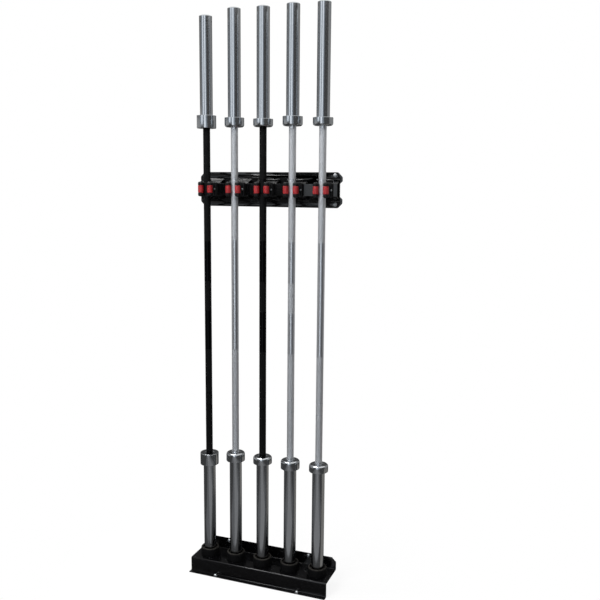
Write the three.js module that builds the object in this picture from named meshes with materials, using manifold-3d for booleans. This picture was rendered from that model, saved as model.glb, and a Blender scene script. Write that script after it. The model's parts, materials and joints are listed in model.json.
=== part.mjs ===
// Upright storage rack for five barbells, in millimetres, +Z up.
//
// X runs along the wall and +Y points into it. The origin is on the floor, in the middle of the
// rack's width and depth. A tray of bent sheet stands on the floor and is bolted to the wall. It
// carries five cups, in which the lower ends of the bars stand. A bracket higher on the wall, a
// plate with a rail welded to it, carries five clips. Each clip holds a bar's shaft between two
// sprung jaws with rollers.

import * as THREE from 'three';
import { mergeVertices } from 'three/addons/utils/BufferGeometryUtils.js';
import Module from 'manifold-3d';

const wasm = await Module();
wasm.setup();

// Layout
const BAR_COUNT = 5;
const BAR_PITCH = 121;
const AXIS_TO_WALL = 65;
const AXIS_TO_FRONT = 61; // from the bars' axes to the tray's front face
const FOOT_WIDTH = 20; // the tray's foot flange, forward of its front face
const CLIP_BELOW_COLLAR = 235.8; // from the lowest upper collar down to the middle of the clips

// Fits and finish of the model
const SEAT_GAP = 0.3; // between two pieces that touch on the real rack
const RUNNING_GAP = 0.6; // between a round piece and the bore that it turns in
const OVERRUN = 5; // how far a cutting shape runs past what it cuts
const ROUND_SIDES = 12;
const SMALL_SIDES = 8;
const BEND_STEPS = 1; // an arc has twice as many edges as steps
const HOLE_STEPS = 4;
const SCREW_HOLE_STEPS = 3;

// Bent sheet
const SHEET = 3;
const BEND_RADIUS = 2; // on the inside of a bend

// Wall bracket: a plate with lobed corners, and a hat-section rail welded to its front
const PLATE_OVERHANG = 10; // of the plate past each end of the rail
const PLATE_BOLT_INSET = 29; // from the end of the plate to its bolts
const PLATE_BOLT_EDGE = 13.5; // from the upper or lower edge of the plate to its bolts
const WEB_TO_WASHER = 6; // from the foot of the rail's web to the bolts' washers
const LOBE_CORNER = 18; // the chamfer at the corner of the plate
const LOBE_STEP = 9; // from the waist between two lobes to a lobe's straight side
const RAIL_OVERHANG = 14; // of the rail past the side of the last clip
const RAIL_HEIGHT = 50; // the flat face that carries the clips
const RAIL_DEPTH = 39; // from the wall to that face
const RAIL_WEB_RISE = 15; // how much wider the sloping webs are at the plate
const NOTCH_WIDTH = 32; // the notches in both webs, between the clips
const NOTCH_SILL = 2; // how far a notch reaches into the face's bend

// Base tray
const TRAY_OVERHANG = 19.5; // of the tray past the side of the last cup
const TRAY_TOP = 59;
const TRAY_BACK_HEIGHT = 108;
const TRAY_CORNER = 17.5;
const TRAY_BOLT_EDGE = 10.5;
const FOOT_BOLT_EDGE = 9;

// Wall and floor bolts
const BOLT_RADIUS = 5;
const BOLT_HOLE_RADIUS = 5.5;
const WASHER_RADIUS = 8.5;
const WASHER_THICKNESS = 2;
const BOLT_HEAD_RADIUS = 7.5;
const BOLT_HEAD_HEIGHT = 6;
const BOLT_CROWN_RADIUS = 4.5;
const BOLT_RIM_HEIGHT = 3;

// Cups on the tray
const CUP_RADIUS = 39.5;
const CUP_BORE = 30;
const CUP_HEIGHT = 34;
const CUP_FLOOR = 25.5;
const CUP_OUTER_ROUND = 5;
const CUP_CHAMFER = 3;
const CUP_SIDES = 18;

// Clips: a housing on the rail's face, open to the front
const CLIP_WIDTH = 72;
const CLIP_DEPTH = 18;
const CLIP_TALL = 54;
const CLIP_CORNER = 4; // the chamfer at its four corners
const CLIP_BACK_WALL = 2.5;
const CLIP_END_WALL = 6;
const CLIP_SIDE_WALL = 11;
const SHAFT_RELIEF = 1.5; // round the shaft, where it passes the housing
const CLIP_SCREW_HOLE = 2.8;

// Jaws: each turns on two stubs in the housing, behind the shaft, and carries a roller in its yoke
const ROLLER_RADIUS = 11;
const ROLLER_HEIGHT = 30;
const ROLLER_CHAMFER = 1.5;
const ROLLER_SPREAD = 40.4; // between the two rollers' axes
const ROLLER_AXLE_RADIUS = 3;
const ROLLER_END_GAP = 0.5;
const PIVOT_SPREAD = 35; // between the two jaws' axes
const PIVOT_BEHIND_AXIS = 15;
const PIVOT_RADIUS = 2.5;
const HUB_RADIUS = 6.5;
const HUB_END_GAP = 0.5;
const ARM_THICKNESS = 4.7;
const ARM_HEIGHT = 32;
const ARM_SHAFT_CLEARANCE = 1.3;
const YOKE_HEIGHT = 58;
const YOKE_WALL = 3.6;
const YOKE_WALL_GAP = 0.6;
const YOKE_WALL_HEIGHT = 48;
const YOKE_FROM_DEG = 20;
const YOKE_TO_DEG = 105;
const YOKE_STEPS = 2;
const LUG_RADIUS = 11;
const LUG_CROWN_RADIUS = 5;
const LUG_RIM_HEIGHT = 7;
const SPRING_LENGTH = 44; // the flat spring behind both jaws
const SPRING_HEIGHT = 30;

// Barbells
const SHAFT_RADIUS = 14;
const JOURNAL_RADIUS = 12.5; // the shaft inside the sleeves
const SLEEVE_RADIUS = 25;
const SLEEVE_CHAMFER = 1.5;
const COLLAR_RADIUS = 38;
const END_RECESS = 6; // from the sleeve's end to the shaft's
const END_WASHER_THICKNESS = 3; // the washer that keeps the sleeve on the shaft
const PIN_HOLE_RADIUS = 2.5;
const PIN_HOLE_FROM_END = 24;
const PIN_HOLE_COUNT = 6;
const PIN_HOLE_SIDES = 6;

// The three styles of bar. Grip is the length between the collars. The first bar's collars are long
// and straight, and its sleeves shorter.
const LONG_COLLAR = {
  grip: 1326, sleeve: 375, collar: 49, nose: 36.5, noseRise: 0.5, shoulder: 37.5, shoulderRise: 1, pinHoles: true,
};
const SHORT_COLLAR = {
  grip: 1310, sleeve: 411, collar: 30, nose: 27, noseRise: 3, shoulder: 34.5, shoulderRise: 6, pinHoles: false,
};
const MIDDLE_COLLAR = { ...SHORT_COLLAR, sleeve: 406, collar: 36 };
const BAR_STYLES = [LONG_COLLAR, MIDDLE_COLLAR, SHORT_COLLAR, MIDDLE_COLLAR, SHORT_COLLAR];
const DARK_SHAFTS = [0, 2];

// Places worked out from the sizes above
const WALL_Y = (AXIS_TO_WALL + AXIS_TO_FRONT + FOOT_WIDTH) / 2;
const AXIS_Y = WALL_Y - AXIS_TO_WALL;
const FRONT_Y = AXIS_Y - AXIS_TO_FRONT;
const FOOT_Y = FRONT_Y - FOOT_WIDTH;
const PLATE_FRONT_Y = WALL_Y - SHEET;
const RAIL_FACE_Y = WALL_Y - RAIL_DEPTH;
const ROW_LENGTH = (BAR_COUNT - 1) * BAR_PITCH; // between the first and last bars' axes
const RAIL_LENGTH = ROW_LENGTH + CLIP_WIDTH + 2 * RAIL_OVERHANG;
const PLATE_LENGTH = RAIL_LENGTH + 2 * PLATE_OVERHANG;
const PLATE_BOLT_RISE = RAIL_HEIGHT + 2 * (RAIL_WEB_RISE + WEB_TO_WASHER + WASHER_RADIUS);
const PLATE_HEIGHT = PLATE_BOLT_RISE + 2 * PLATE_BOLT_EDGE;
const TRAY_LENGTH = ROW_LENGTH + 2 * (CUP_RADIUS + TRAY_OVERHANG);
const TRAY_BOLT_SPREAD = ROW_LENGTH - BAR_PITCH; // midway between the last two cups at each end
const CLIP_SCREW_X = (CLIP_WIDTH - CLIP_SIDE_WALL) / 2;
const CUP_TOP = TRAY_TOP + CUP_HEIGHT;
const BAR_END_HEIGHT = TRAY_TOP + CUP_FLOOR + SEAT_GAP;
const gripTop = (style) => style.sleeve + style.collar + style.grip; // from a bar's end to its upper collar
const UPPER_COLLAR_HEIGHT = BAR_END_HEIGHT + Math.min(...BAR_STYLES.map(gripTop));
const CLIP_HEIGHT = UPPER_COLLAR_HEIGHT - CLIP_BELOW_COLLAR;
const SLEEVE_BORE = SHAFT_RADIUS + 2 * RUNNING_GAP; // at the sleeve's end, round the washer
const ROLLER_REACH = SHAFT_RADIUS + ROLLER_RADIUS + SEAT_GAP;
const ROLLER_X = ROLLER_SPREAD / 2;
const ROLLER_AHEAD = Math.sqrt(ROLLER_REACH ** 2 - ROLLER_X ** 2);
const OUTER_BEND = BEND_RADIUS + SHEET;
const barX = (index) => (index - (BAR_COUNT - 1) / 2) * BAR_PITCH;
const BARS = Array.from({ length: BAR_COUNT }, (_, index) => index);

// Materials
const finish = (color, roughness, metalness) =>
  new THREE.MeshStandardMaterial({ color, roughness, metalness });
const GLOSS_BLACK = finish('#0d0d0e', 0.22, 0);
const BLACK_NYLON = finish('#151516', 0.5, 0);
const BLACK_RUBBER = finish('#1b1b1c', 0.75, 0);
const RED_RUBBER = finish('#c3282c', 0.5, 0);
const ZINC = finish('#c4c6c8', 0.35, 1);
const SPRING_STEEL = finish('#8d8f92', 0.4, 1);
const CHROME = finish('#c9cbcd', 0.22, 1);
const DARK_STEEL = finish('#2c2d2f', 0.4, 1);

// Solids
function signedVolume(geometry) {
  const place = geometry.getAttribute('position');
  const corners = [new THREE.Vector3(), new THREE.Vector3(), new THREE.Vector3()];
  let sum = 0;
  for (let i = 0; i < geometry.index.count; i += corners.length) {
    corners.forEach((corner, k) => corner.fromBufferAttribute(place, geometry.index.getX(i + k)));
    sum += corners[0].dot(corners[1].cross(corners[2]));
  }
  return sum;
}

// Shares equal vertices, drops the empty triangles that this leaves, and turns the faces outwards.
function closed(geometry) {
  geometry.deleteAttribute('normal');
  geometry.deleteAttribute('uv');
  const shared = mergeVertices(geometry);
  const kept = [];
  for (let i = 0; i < shared.index.count; i += 3) {
    const [a, b, c] = [0, 1, 2].map((k) => shared.index.getX(i + k));
    if (a !== b && b !== c && c !== a) kept.push(a, b, c);
  }
  shared.setIndex(kept);
  if (signedVolume(shared) < 0) shared.setIndex(kept.reverse());
  return shared;
}

function toManifold(geometry) {
  return new wasm.Manifold(new wasm.Mesh({
    numProp: 3,
    vertProperties: new Float32Array(geometry.getAttribute('position').array),
    triVerts: new Uint32Array(geometry.index.array),
  }));
}

function fromManifold(solid) {
  const mesh = solid.getMesh();
  const geometry = new THREE.BufferGeometry();
  geometry.setAttribute('position', new THREE.BufferAttribute(mesh.vertProperties, 3));
  geometry.setIndex(new THREE.BufferAttribute(mesh.triVerts, 1));
  return geometry;
}

const combine = (operation, first, others) =>
  fromManifold(others.reduce((solid, other) => solid[operation](toManifold(other)), toManifold(first)));
const join = (first, ...others) => combine('add', first, others);
const cut = (first, ...others) => combine('subtract', first, others);
const common = (first, ...others) => combine('intersect', first, others);
const moved = (geometry, x, y, z) => geometry.clone().translate(x, y, z);
const turnedOver = (geometry) => geometry.clone().rotateX(Math.PI);

// A turned piece round the Z axis, from [radius, height] points. A profile that doesn't start and
// end on the axis is closed on itself, and leaves a bore.
function turned(profile, sides = ROUND_SIDES) {
  const points = profile.map(([radius, height]) => new THREE.Vector2(radius, height));
  if (points[0].x > 0) points.push(points[0].clone());
  return closed(new THREE.LatheGeometry(points, sides).rotateX(Math.PI / 2));
}

const rod = (radius, low, high, sides = SMALL_SIDES) =>
  turned([[0, low], [radius, low], [radius, high], [0, high]], sides);

const block = (low, high) => closed(new THREE.BoxGeometry(...high.map((value, k) => value - low[k]))
  .translate(...high.map((value, k) => (value + low[k]) / 2)));

// An outline from [x, y, radius] corners: a corner with a radius is rounded by an arc.
function outline(corners) {
  const shape = new THREE.Shape();
  corners.forEach(([x, y, radius = 0], index) => {
    const corner = new THREE.Vector2(x, y);
    const [fromX, fromY] = corners.at(index - 1);
    const [toX, toY] = corners[(index + 1) % corners.length];
    const back = new THREE.Vector2(fromX, fromY).sub(corner).normalize();
    const ahead = new THREE.Vector2(toX, toY).sub(corner).normalize();
    const half = Math.acos(back.dot(ahead)) / 2;
    const start = back.clone().multiplyScalar(radius / Math.tan(half)).add(corner);
    if (index === 0) shape.moveTo(start.x, start.y);
    else shape.lineTo(start.x, start.y);
    if (radius === 0) return;
    const middle = back.clone().add(ahead).normalize().multiplyScalar(radius / Math.sin(half)).add(corner);
    const end = ahead.clone().multiplyScalar(radius / Math.tan(half)).add(corner);
    const [first, last] = [start, end].map((point) => point.sub(middle).angle());
    shape.absarc(middle.x, middle.y, radius, first, last, back.cross(ahead) > 0);
  });
  return shape;
}

function holed(shape, centres, radius) {
  centres.forEach(([x, y]) => {
    const hole = new THREE.Path();
    hole.absarc(x, y, radius, 0, 2 * Math.PI);
    shape.holes.push(hole);
  });
  return shape;
}

// The same corners in mirror image, in the order that goes on round the outline
const mirrorX = (corners) => corners.map(([x, y, radius]) => [-x, y, radius]).reverse();
const mirrorY = (corners) => corners.map(([x, y, radius]) => [x, -y, radius]).reverse();

const extruded = (shape, depth, steps) =>
  new THREE.ExtrudeGeometry(shape, { depth, bevelEnabled: false, curveSegments: steps });

// An outline in X and Y, raised from one height to another
const raised = (shape, low, high, steps) =>
  closed(extruded(shape, high - low, steps).translate(0, 0, low));

// An outline in Y and Z, drawn out along X to both sides of the middle
function drawnAlongX(shape, length) {
  const turn = new THREE.Matrix4().makeBasis(
    new THREE.Vector3(0, 1, 0),
    new THREE.Vector3(0, 0, 1),
    new THREE.Vector3(1, 0, 0),
  );
  return closed(extruded(shape, length, BEND_STEPS).translate(0, 0, -length / 2).applyMatrix4(turn));
}

// An outline in X and Z, drawn from its front to its back along Y
const drawnAlongY = (shape, front, back, steps = HOLE_STEPS) =>
  closed(extruded(shape, back - front, steps).rotateX(Math.PI / 2).translate(0, back, 0));

// Wall bracket, drawn with the clips' middle at height 0
function plateBolts() {
  const [x, z] = [PLATE_LENGTH / 2 - PLATE_BOLT_INSET, PLATE_BOLT_RISE / 2];
  return [[-x, z], [x, z], [-x, -z], [x, -z]];
}

function bracketPlate() {
  const x = PLATE_LENGTH / 2;
  const z = PLATE_HEIGHT / 2;
  const waist = RAIL_HEIGHT / 2;
  const waistX = RAIL_LENGTH / 2;
  const upper = [[waistX, waist], [x, waist + LOBE_STEP], [x, z - LOBE_CORNER], [x - LOBE_CORNER, z]];
  const right = [...mirrorY(upper), ...upper];
  const face = holed(outline([...right, ...mirrorX(right)]), plateBolts(), BOLT_HOLE_RADIUS);
  return drawnAlongY(face, PLATE_FRONT_Y, WALL_Y);
}

// The rail's webs end inside the plate, where they are welded to it.
function bracketRail() {
  const face = RAIL_HEIGHT / 2;
  const inside = RAIL_FACE_Y + SHEET;
  const weld = PLATE_FRONT_Y + SHEET / 2;
  const slope = RAIL_WEB_RISE / (PLATE_FRONT_Y - RAIL_FACE_Y);
  const webThickness = SHEET * Math.hypot(1, slope);
  const web = (y) => face + (y - RAIL_FACE_Y) * slope;
  const outer = [[weld, web(weld)], [RAIL_FACE_Y, face, OUTER_BEND]];
  const inner = [[inside, web(inside) - webThickness, BEND_RADIUS], [weld, web(weld) - webThickness]];
  const section = outline([...outer, ...mirrorY(outer), ...mirrorY(inner), ...inner]);

  const top = face + RAIL_WEB_RISE + OVERRUN;
  const sill = face - NOTCH_SILL;
  const upperEdge = [[-RAIL_LENGTH / 2, top]];
  for (const index of BARS.slice(1)) {
    const middle = (barX(index - 1) + barX(index)) / 2;
    const [left, right] = [middle - NOTCH_WIDTH / 2, middle + NOTCH_WIDTH / 2];
    upperEdge.push([left, top], [left, sill], [right, sill], [right, top]);
  }
  upperEdge.push([RAIL_LENGTH / 2, top]);
  const screwHoles = BARS.flatMap((index) => [-CLIP_SCREW_X, CLIP_SCREW_X].map((x) => [barX(index) + x, 0]));
  const blank = holed(outline([...upperEdge, ...mirrorY(upperEdge)]), screwHoles, CLIP_SCREW_HOLE);
  return common(
    drawnAlongX(section, RAIL_LENGTH + 2 * OVERRUN),
    drawnAlongY(blank, RAIL_FACE_Y - OVERRUN, WALL_Y, SCREW_HOLE_STEPS),
  );
}

// Base tray: flange up the wall, top, front face down to the floor, and foot flange forward
function baseTray() {
  const section = outline([
    [WALL_Y, TRAY_BACK_HEIGHT],
    [WALL_Y - SHEET, TRAY_BACK_HEIGHT],
    [WALL_Y - SHEET, TRAY_TOP, BEND_RADIUS],
    [FRONT_Y, TRAY_TOP, OUTER_BEND],
    [FRONT_Y, SHEET, BEND_RADIUS],
    [FOOT_Y, SHEET],
    [FOOT_Y, 0],
    [FRONT_Y + SHEET, 0, OUTER_BEND],
    [FRONT_Y + SHEET, TRAY_TOP - SHEET, BEND_RADIUS],
    [WALL_Y, TRAY_TOP - SHEET, OUTER_BEND],
  ]);
  const x = TRAY_LENGTH / 2;
  const side = [[x, -OVERRUN], [x, TRAY_BACK_HEIGHT - TRAY_CORNER], [x - TRAY_CORNER, TRAY_BACK_HEIGHT]];
  const blank = holed(outline([...side, ...mirrorX(side)]), trayWallBolts(), BOLT_HOLE_RADIUS);
  const footHole = rod(BOLT_HOLE_RADIUS, -OVERRUN, SHEET + OVERRUN);
  return cut(
    common(
      drawnAlongX(section, TRAY_LENGTH + 2 * OVERRUN),
      drawnAlongY(blank, FOOT_Y - OVERRUN, WALL_Y + OVERRUN),
    ),
    ...trayFloorBolts().map(([boltX, boltY]) => moved(footHole, boltX, boltY, 0)),
  );
}

// Places in X and Z on the wall, and in X and Y on the floor
function trayWallBolts() {
  return [-TRAY_BOLT_SPREAD / 2, TRAY_BOLT_SPREAD / 2].map((x) => [x, TRAY_BACK_HEIGHT - TRAY_BOLT_EDGE]);
}

function trayFloorBolts() {
  return [-TRAY_BOLT_SPREAD / 2, TRAY_BOLT_SPREAD / 2].map((x) => [x, FOOT_Y + FOOT_BOLT_EDGE]);
}

// A domed bolt with its washer, upright, its seat at height 0 and its shank down through the sheet
function bolt() {
  const top = WASHER_THICKNESS + BOLT_HEAD_HEIGHT;
  return turned([
    [0, -SHEET],
    [BOLT_RADIUS, -SHEET],
    [BOLT_RADIUS, 0],
    [WASHER_RADIUS, 0],
    [WASHER_RADIUS, WASHER_THICKNESS],
    [BOLT_HEAD_RADIUS, WASHER_THICKNESS],
    [BOLT_HEAD_RADIUS, WASHER_THICKNESS + BOLT_RIM_HEIGHT],
    [BOLT_CROWN_RADIUS, top],
    [0, top],
  ], SMALL_SIDES);
}

// The cup's rim is rounded on the outside, through a quarter turn.
const QUARTER_TURN_SHARES = [0, 0.5, 1];

function rimRound() {
  return QUARTER_TURN_SHARES.map((share) => {
    const angle = share * Math.PI / 2;
    return [
      CUP_RADIUS - CUP_OUTER_ROUND * (1 - Math.cos(angle)),
      CUP_TOP - CUP_OUTER_ROUND * (1 - Math.sin(angle)),
    ];
  });
}

function cup() {
  return turned([
    [0, TRAY_TOP],
    [CUP_RADIUS, TRAY_TOP],
    ...rimRound(),
    [CUP_BORE + CUP_CHAMFER, CUP_TOP],
    [CUP_BORE, CUP_TOP - CUP_CHAMFER],
    [CUP_BORE, TRAY_TOP + CUP_FLOOR],
    [0, TRAY_TOP + CUP_FLOOR],
  ], CUP_SIDES);
}

// Clips, drawn round the bar's axis at X 0 and Y 0, with the clip's middle at height 0
const clipBack = RAIL_FACE_Y - AXIS_Y;
const clipFront = clipBack - CLIP_DEPTH;
const clipInsideHeight = CLIP_TALL - 2 * CLIP_END_WALL;
const pivotX = PIVOT_SPREAD / 2;

function clipBase() {
  const x = CLIP_WIDTH / 2;
  const z = CLIP_TALL / 2;
  const corner = [[x, z - CLIP_CORNER], [x - CLIP_CORNER, z]];
  const half = [...mirrorY(corner), ...corner];
  const screwHoles = [[-CLIP_SCREW_X, 0], [CLIP_SCREW_X, 0]];
  const face = holed(outline([...half, ...mirrorX(half)]), screwHoles, CLIP_SCREW_HOLE);
  const room = block(
    [CLIP_SIDE_WALL - x, clipFront - OVERRUN, -clipInsideHeight / 2],
    [x - CLIP_SIDE_WALL, clipBack - CLIP_BACK_WALL, clipInsideHeight / 2],
  );
  const pivotHole = rod(PIVOT_RADIUS + RUNNING_GAP, -z - OVERRUN, z + OVERRUN);
  return cut(
    drawnAlongY(face, clipFront, clipBack, SCREW_HOLE_STEPS),
    room,
    rod(SHAFT_RADIUS + SHAFT_RELIEF, -z - OVERRUN, z + OVERRUN, ROUND_SIDES),
    moved(pivotHole, -pivotX, PIVOT_BEHIND_AXIS, 0),
    moved(pivotHole, pivotX, PIVOT_BEHIND_AXIS, 0),
  );
}

// A flat spring lies between the jaws' hubs and the back of the housing.
function clipSpring() {
  const front = PIVOT_BEHIND_AXIS + HUB_RADIUS + SEAT_GAP;
  const [x, z] = [SPRING_LENGTH / 2, SPRING_HEIGHT / 2];
  return block([-x, front, -z], [x, clipBack - CLIP_BACK_WALL, z]);
}

// The wall of the yoke, round the back and the outer side of the roller at X 0 and Y 0
function yokeWall(inner, outer) {
  const from = THREE.MathUtils.degToRad(YOKE_FROM_DEG);
  const to = THREE.MathUtils.degToRad(YOKE_TO_DEG);
  const shape = new THREE.Shape();
  shape.moveTo(inner * Math.cos(from), inner * Math.sin(from));
  shape.lineTo(outer * Math.cos(from), outer * Math.sin(from));
  shape.absarc(0, 0, outer, from, to);
  shape.lineTo(inner * Math.cos(to), inner * Math.sin(to));
  shape.absarc(0, 0, inner, to, from, true);
  return raised(shape, -YOKE_WALL_HEIGHT / 2, YOKE_WALL_HEIGHT / 2, YOKE_STEPS);
}

// A jaw of the right-hand side: side -1 gives the left-hand one
function jaw(side) {
  const low = ROLLER_HEIGHT / 2 + ROLLER_END_GAP;
  const lug = turned([
    [0, low],
    [LUG_RADIUS, low],
    [LUG_RADIUS, low + LUG_RIM_HEIGHT],
    [LUG_CROWN_RADIUS, YOKE_HEIGHT / 2],
    [0, YOKE_HEIGHT / 2],
  ], SMALL_SIDES);
  const wallInner = ROLLER_RADIUS + YOKE_WALL_GAP;
  const wall = cut(
    yokeWall(LUG_RADIUS - YOKE_WALL, wallInner + YOKE_WALL),
    rod(wallInner, -low, low, ROUND_SIDES),
  );
  const axle = rod(ROLLER_AXLE_RADIUS, -low - ROLLER_END_GAP, low + ROLLER_END_GAP);
  const yoke = join(wall, lug, turnedOver(lug), axle).translate(ROLLER_X, -ROLLER_AHEAD, 0);

  const hubHalf = clipInsideHeight / 2 - HUB_END_GAP;
  const hub = moved(rod(HUB_RADIUS, -hubHalf, hubHalf), pivotX, PIVOT_BEHIND_AXIS, 0);
  const stubs = moved(rod(PIVOT_RADIUS, -CLIP_TALL / 2, CLIP_TALL / 2), pivotX, PIVOT_BEHIND_AXIS, 0);
  const armInner = SHAFT_RADIUS + ARM_SHAFT_CLEARANCE;
  const arm = block(
    [armInner, wallInner + YOKE_WALL / 2 - ROLLER_AHEAD, -ARM_HEIGHT / 2],
    [armInner + ARM_THICKNESS, PIVOT_BEHIND_AXIS, ARM_HEIGHT / 2],
  );
  const whole = join(yoke, hub, stubs, arm);
  return side > 0 ? whole : closed(whole.scale(-1, 1, 1));
}

// A roller for one side, turned so that a corner of its faceted round meets the shaft
function roller(side) {
  const half = ROLLER_HEIGHT / 2;
  const bore = ROLLER_AXLE_RADIUS + RUNNING_GAP;
  return turned([
    [bore, -half],
    [ROLLER_RADIUS - ROLLER_CHAMFER, -half],
    [ROLLER_RADIUS, ROLLER_CHAMFER - half],
    [ROLLER_RADIUS, half - ROLLER_CHAMFER],
    [ROLLER_RADIUS - ROLLER_CHAMFER, half],
    [bore, half],
  ]).rotateZ(-side * Math.atan2(ROLLER_AHEAD, ROLLER_X));
}

// Barbells, each drawn from its lower end up
const barLength = (style) => style.grip + 2 * (style.sleeve + style.collar);

// The shaft's ends are thinner inside the sleeves, and each keeps its sleeve on with a washer as wide
// as the shaft. It is turned by half a side, so that a corner of its faceted round meets each roller.
function shaft(style) {
  const shoulder = style.sleeve + style.collar + SEAT_GAP;
  const washerTop = END_RECESS + END_WASHER_THICKNESS;
  const lower = [
    [0, END_RECESS],
    [SHAFT_RADIUS, END_RECESS],
    [SHAFT_RADIUS, washerTop],
    [JOURNAL_RADIUS, washerTop],
    [JOURNAL_RADIUS, shoulder],
    [SHAFT_RADIUS, shoulder],
  ];
  const upper = lower.map(([radius, height]) => [radius, barLength(style) - height]).reverse();
  return turned([...lower, ...upper]).rotateZ(Math.PI / ROUND_SIDES);
}

// A lower sleeve with its collar and the bushing inside it, which runs on the shaft
function sleeve(style) {
  const end = style.sleeve + style.collar;
  const bushing = JOURNAL_RADIUS + RUNNING_GAP;
  const seat = END_RECESS + END_WASHER_THICKNESS + SEAT_GAP;
  const body = turned([
    [SLEEVE_BORE, 0],
    [SLEEVE_RADIUS - SLEEVE_CHAMFER, 0],
    [SLEEVE_RADIUS, SLEEVE_CHAMFER],
    [SLEEVE_RADIUS, style.sleeve],
    [COLLAR_RADIUS, style.sleeve],
    [COLLAR_RADIUS, end - style.noseRise - style.shoulderRise],
    [style.shoulder, end - style.noseRise],
    [style.nose, end],
    [bushing, end],
    [bushing, seat],
    [SLEEVE_BORE, seat],
  ]);
  return style.pinHoles ? cut(body, ...pinHoles()) : body;
}

function pinHoles() {
  const hole = rod(PIN_HOLE_RADIUS, SLEEVE_BORE, SLEEVE_RADIUS + OVERRUN, PIN_HOLE_SIDES)
    .rotateX(Math.PI / 2)
    .translate(0, 0, PIN_HOLE_FROM_END);
  return Array.from({ length: PIN_HOLE_COUNT }, (_, index) =>
    hole.clone().rotateZ((2 * Math.PI * index) / PIN_HOLE_COUNT));
}

// The rack, piece by piece
const rack = new THREE.Group();

function add(name, geometry, material, x = 0, y = 0, z = 0) {
  const mesh = new THREE.Mesh(geometry, material);
  mesh.name = name;
  mesh.position.set(x, y, z);
  rack.add(mesh);
}

const upright = bolt();
const sideways = upright.clone().rotateX(Math.PI / 2);

add('wall_bracket', join(bracketPlate(), bracketRail()), GLOSS_BLACK, 0, 0, CLIP_HEIGHT);
plateBolts().forEach(([x, z], index) =>
  add(`bracket_bolt_${index + 1}`, sideways, ZINC, x, PLATE_FRONT_Y, CLIP_HEIGHT + z));
add('base_tray', baseTray(), GLOSS_BLACK);
trayWallBolts().forEach(([x, z], index) =>
  add(`tray_wall_bolt_${index + 1}`, sideways, ZINC, x, WALL_Y - SHEET, z));
trayFloorBolts().forEach(([x, y], index) =>
  add(`tray_floor_bolt_${index + 1}`, upright, ZINC, x, y, SHEET));

const oneCup = cup();
const oneBase = clipBase();
const oneSpring = clipSpring();
const clipSides = [['left', -1], ['right', 1]].map(([name, side]) => [name, side, jaw(side), roller(side)]);

for (const index of BARS) {
  const number = index + 1;
  const x = barX(index);
  add(`cup_${number}`, oneCup, BLACK_RUBBER, x, AXIS_Y);
  add(`clip_base_${number}`, oneBase, BLACK_NYLON, x, AXIS_Y, CLIP_HEIGHT);
  add(`clip_spring_${number}`, oneSpring, SPRING_STEEL, x, AXIS_Y, CLIP_HEIGHT);
  for (const [name, side, oneJaw, oneRoller] of clipSides) {
    add(`jaw_${number}_${name}`, oneJaw, BLACK_NYLON, x, AXIS_Y, CLIP_HEIGHT);
    add(`roller_${number}_${name}`, oneRoller, RED_RUBBER, x + side * ROLLER_X, AXIS_Y - ROLLER_AHEAD, CLIP_HEIGHT);
  }

  const style = BAR_STYLES[index];
  const lowerSleeve = sleeve(style);
  const upperSleeve = turnedOver(lowerSleeve).translate(0, 0, barLength(style));
  const steel = DARK_SHAFTS.includes(index) ? DARK_STEEL : CHROME;
  add(`bar_${number}_shaft`, shaft(style), steel, x, AXIS_Y, BAR_END_HEIGHT);
  add(`bar_${number}_lower_sleeve`, lowerSleeve, CHROME, x, AXIS_Y, BAR_END_HEIGHT);
  add(`bar_${number}_upper_sleeve`, upperSleeve, CHROME, x, AXIS_Y, BAR_END_HEIGHT);
}

export default rack;
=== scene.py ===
# %% [markdown]
# # A wall rack for five barbells
# Five bars stand on end in rubber cups on a bent sheet tray, and a bracket on the wall holds each
# shaft between two sprung rollers. The sizes and joints are already settled in the frame that is
# loaded here. This lesson gives every piece its real surface: turned and polished steel, cut
# knurling, bent and powder coated sheet, moulded nylon and rubber.

import cmath
import json
import math

import bmesh
import bpy
from mathutils import Matrix, Vector

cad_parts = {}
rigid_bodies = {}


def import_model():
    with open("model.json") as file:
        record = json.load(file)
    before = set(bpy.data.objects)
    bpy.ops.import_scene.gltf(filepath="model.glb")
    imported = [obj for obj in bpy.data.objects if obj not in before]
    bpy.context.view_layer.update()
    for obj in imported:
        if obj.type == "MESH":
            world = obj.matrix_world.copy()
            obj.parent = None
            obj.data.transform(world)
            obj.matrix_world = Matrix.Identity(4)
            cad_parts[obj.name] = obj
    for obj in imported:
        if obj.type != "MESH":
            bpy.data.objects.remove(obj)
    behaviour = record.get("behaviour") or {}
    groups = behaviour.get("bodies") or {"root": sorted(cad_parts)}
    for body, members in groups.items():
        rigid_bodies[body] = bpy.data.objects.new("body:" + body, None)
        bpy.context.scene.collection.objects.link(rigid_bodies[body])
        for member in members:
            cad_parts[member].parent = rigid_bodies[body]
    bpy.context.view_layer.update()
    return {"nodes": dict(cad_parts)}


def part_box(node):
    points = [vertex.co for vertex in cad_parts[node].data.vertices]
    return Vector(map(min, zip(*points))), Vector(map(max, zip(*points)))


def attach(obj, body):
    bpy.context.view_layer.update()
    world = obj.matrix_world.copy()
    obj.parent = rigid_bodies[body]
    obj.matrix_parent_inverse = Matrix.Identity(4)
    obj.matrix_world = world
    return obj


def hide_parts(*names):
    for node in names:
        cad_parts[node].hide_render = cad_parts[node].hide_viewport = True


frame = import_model()

# %% [markdown]
# ## Units and helpers
# Small parts are drawn in millimetres, because a maker thinks in them and because bevels and
# booleans are more reliable on shapes that are tens of units across. One call at the end of each
# piece scales it to metres and puts it in its place, so that every finished object sits at the
# origin, as the frame's own parts do.

# %% Units and colour
MM = 0.001
scene = bpy.context.scene
BARS = range(1, 6)


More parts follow.
